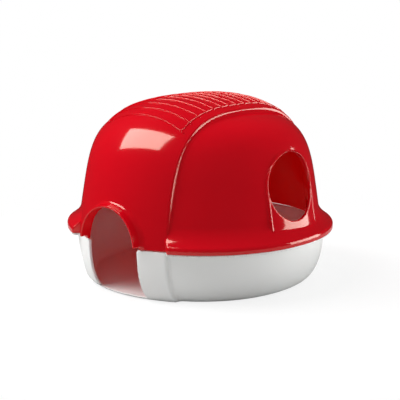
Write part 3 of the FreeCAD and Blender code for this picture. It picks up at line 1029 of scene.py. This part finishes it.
def direction(azimuth: float, elevation: float) -> tuple[Vector, Vector]:
    """Works out a direction from the house.

    Args:
        azimuth: Degrees to the right of straight in front.
        elevation: Degrees above level.

    Returns:
        The direction, and the level one to the right of who looks back along it.
    """
    turn, tilt = math.radians(azimuth), math.radians(elevation)
    way = Vector((math.sin(turn) * math.cos(tilt), -math.cos(turn) * math.cos(tilt),
                  math.sin(tilt)))
    return way, Vector((math.cos(turn), math.sin(turn), 0))


@dataclass(frozen=True)
class Viewpoint:
    """The camera, at the photograph's own place.

    Attributes:
        azimuth: Degrees to the right of straight in front.
        elevation: Degrees above level.
        distance: Millimetres from the point looked at.
        focal_share: Focal length as a multiple of the frame's width.
        right: Millimetres to the right of the middle that it looks at.
        height: Height looked at, in millimetres.
        forward_shift: Where the middle of the house lies along Y.
        sensor_width: Width of the sensor, in millimetres.
        clip: Nearest and farthest distance drawn, in metres.
    """

    azimuth: float = 41.361
    elevation: float = 11.682
    distance: float = 583.4
    focal_share: float = 1028.43 / 400
    right: float = 0.131
    height: float = 41.538
    forward_shift: float = 0.75
    sensor_width: float = 36.0
    clip: tuple[float, float] = (0.01, 20.0)

    def place(self) -> None:
        """Makes the camera and sets it as the scene's."""
        back, side = direction(self.azimuth, self.elevation)
        up = back.cross(side)
        looked_at = Vector((0, self.forward_shift, self.height)) + side * self.right
        data = bpy.data.cameras.new("camera")
        data.sensor_width = self.sensor_width
        data.lens = self.focal_share * self.sensor_width
        data.clip_start, data.clip_end = self.clip
        camera = bpy.data.objects.new("camera", data)
        turned = Matrix((side, up, back)).transposed().to_4x4()
        stand = (looked_at + back * self.distance) * MM
        camera.matrix_world = Matrix.Translation(stand) @ turned
        bpy.context.scene.collection.objects.link(camera)
        bpy.context.scene.camera = camera


@dataclass(frozen=True)
class Softbox:
    """A rectangular lamp that faces the middle of the house.

    Attributes:
        name: Name of the lamp.
        azimuth: Degrees to the right of straight in front.
        elevation: Degrees above level.
        roll: Degrees that its right side is turned up.
        distance: Metres from the middle of the house.
        width: Width in metres.
        height: Height in metres.
        brightness: How bright its face is; paper in full light is 1.
        mirrored: False for a lamp that the plastic doesn't mirror.
        aim_height: Height in metres that it faces.
    """

    name: str
    azimuth: float
    elevation: float
    roll: float
    distance: float
    width: float
    height: float
    brightness: float
    mirrored: bool = True
    aim_height: float = 0.06

    def hang(self) -> None:
        """Makes the lamp."""
        way, level = direction(self.azimuth, self.elevation)
        side = Matrix.Rotation(math.radians(self.roll), 3, way) @ level
        data = bpy.data.lights.new(self.name, "AREA")
        data.shape = "RECTANGLE"
        data.size = self.width
        data.size_y = self.height
        data.energy = self.brightness * math.pi * self.width * self.height
        lamp = bpy.data.objects.new(self.name, data)
        turned = Matrix((side, way.cross(side), way)).transposed().to_4x4()
        stand = Vector((0, 0, self.aim_height)) + way * self.distance
        lamp.matrix_world = Matrix.Translation(stand) @ turned
        lamp.visible_camera = False
        lamp.visible_glossy = self.mirrored
        bpy.context.scene.collection.objects.link(lamp)


@dataclass(frozen=True)
class Studio:
    """A white floor, a white backdrop and three softboxes.

    The key makes the bright patch on the band, and the one behind makes the lines of
    light along the band's edge and the flange. The fill lights the left without being
    mirrored, so it adds no third patch.

    Attributes:
        ambient: Strength of the light that comes from all round.
        mirrored: Share of the white backdrop that the plastic mirrors.
        paper: sRGB hex colour of the floor where it lights the house.
        shadow_share: How much of the floor's own light and shade the camera sees.
        floor_radius: Radius of the paper, in metres.
        floor_sides: Sides of the paper's outline.
        lamps: The softboxes.
    """

    ambient: float = 0.43
    mirrored: float = 0.036
    paper: str = "#C4C4C4"
    shadow_share: float = 0.2
    floor_radius: float = 0.2
    floor_sides: int = 96
    lamps: tuple[Softbox, ...] = (
        Softbox("key_softbox", azimuth=-41.6, elevation=51.0, roll=31.0,
                distance=1.0, width=0.82, height=0.45, brightness=7.4),
        Softbox("side_fill", azimuth=-80.0, elevation=45.0, roll=0.0,
                distance=1.3, width=1.0, height=1.0, brightness=2.2, mirrored=False),
        Softbox("rear_softbox", azimuth=139.0, elevation=3.0, roll=0.0,
                distance=1.0, width=0.66, height=0.55, brightness=6.0),
    )

    def _strength(self, tree: bpy.types.NodeTree) -> bpy.types.NodeSocket:
        """Gives the backdrop's strength for each kind of ray: white where it is looked at.

        Args:
            tree: The node tree.

        Returns:
            The strength.
        """
        ray = add_node(tree, "ShaderNodeLightPath")
        mirrored = add_node(tree, "ShaderNodeMapRange",
                            {"To Min": self.ambient, "To Max": self.mirrored},
                            {"Value": ray.outputs["Is Glossy Ray"]})
        seen = add_node(tree, "ShaderNodeMapRange", {"To Max": 1.0},
                        {"Value": ray.outputs["Is Camera Ray"],
                         "To Min": mirrored.outputs["Result"]})
        return seen.outputs["Result"]

    def _backdrop(self) -> None:
        """Makes the world white behind the house and an even grey for its light."""
        world = bpy.data.worlds.new("studio")
        bpy.context.scene.world = world
        world.use_nodes = True
        tree = world.node_tree
        tree.nodes.clear()
        # Light sampled from the world itself would skip the test for mirrored rays.
        world.cycles.sampling_method = "NONE"
        light = add_node(tree, "ShaderNodeBackground", {"Color": linear("#FFFFFF")},
                         {"Strength": self._strength(tree)})
        add_node(tree, "ShaderNodeOutputWorld", None, {"Surface": light.outputs["Background"]})

    def _floor(self) -> None:
        """Makes a round white paper floor that keeps the house's soft shadow."""
        mesh = bpy.data.meshes.new("floor")
        turns = [math.tau * step / self.floor_sides for step in range(self.floor_sides)]
        rim = [(self.floor_radius * math.cos(turn), self.floor_radius * math.sin(turn), 0)
               for turn in turns]
        mesh.from_pydata(rim, [], [list(range(len(rim)))])
        floor = bpy.data.objects.new("floor", mesh)
        material = bpy.data.materials.new("white_paper")
        material.use_nodes = True
        tree = material.node_tree
        tree.nodes.clear()
        ray = add_node(tree, "ShaderNodeLightPath")
        tint = add_node(tree, "ShaderNodeMix", {"data_type": "RGBA"},
                        {"Factor": ray.outputs["Is Camera Ray"]})
        tint.inputs[MIX_A].default_value = linear(self.paper)
        tint.inputs[MIX_B].default_value = linear("#FFFFFF")
        paper = add_node(tree, "ShaderNodeBsdfDiffuse", None,
                         {"Color": tint.outputs[MIX_RESULT]})
        glow = add_node(tree, "ShaderNodeEmission", {"Color": linear("#FFFFFF"), "Strength": 1.0})
        share = add_node(tree, "ShaderNodeMapRange", {"To Max": 1 - self.shadow_share},
                         {"Value": ray.outputs["Is Camera Ray"]})
        mixed = add_node(tree, "ShaderNodeMixShader", None, {"Fac": share.outputs["Result"]})
        tree.links.new(paper.outputs["BSDF"], mixed.inputs[1])
        tree.links.new(glow.outputs["Emission"], mixed.inputs[2])
        add_node(tree, "ShaderNodeOutputMaterial", None, {"Surface": mixed.outputs["Shader"]})
        mesh.materials.append(material)
        bpy.context.scene.collection.objects.link(floor)

    def set_up(self) -> None:
        """Makes the backdrop, the floor and the lamps."""
        bpy.context.scene.view_settings.view_transform = "Standard"
        self._backdrop()
        self._floor()
        for lamp in self.lamps:
            lamp.hang()


def main() -> None:
    """Builds the house and its studio."""
    logging.basicConfig(level=logging.INFO, format="%(message)s")
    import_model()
    Viewpoint().place()
    hood = Hood()
    for piece in hood.build(RED_PLASTIC.make()):
        LOG.info("built %s", piece.name)
    LOG.info("built %s", Tray(hood).build(WHITE_PLASTIC.make()).name)
    Studio().set_up()


if __name__ == "__main__":
    main()
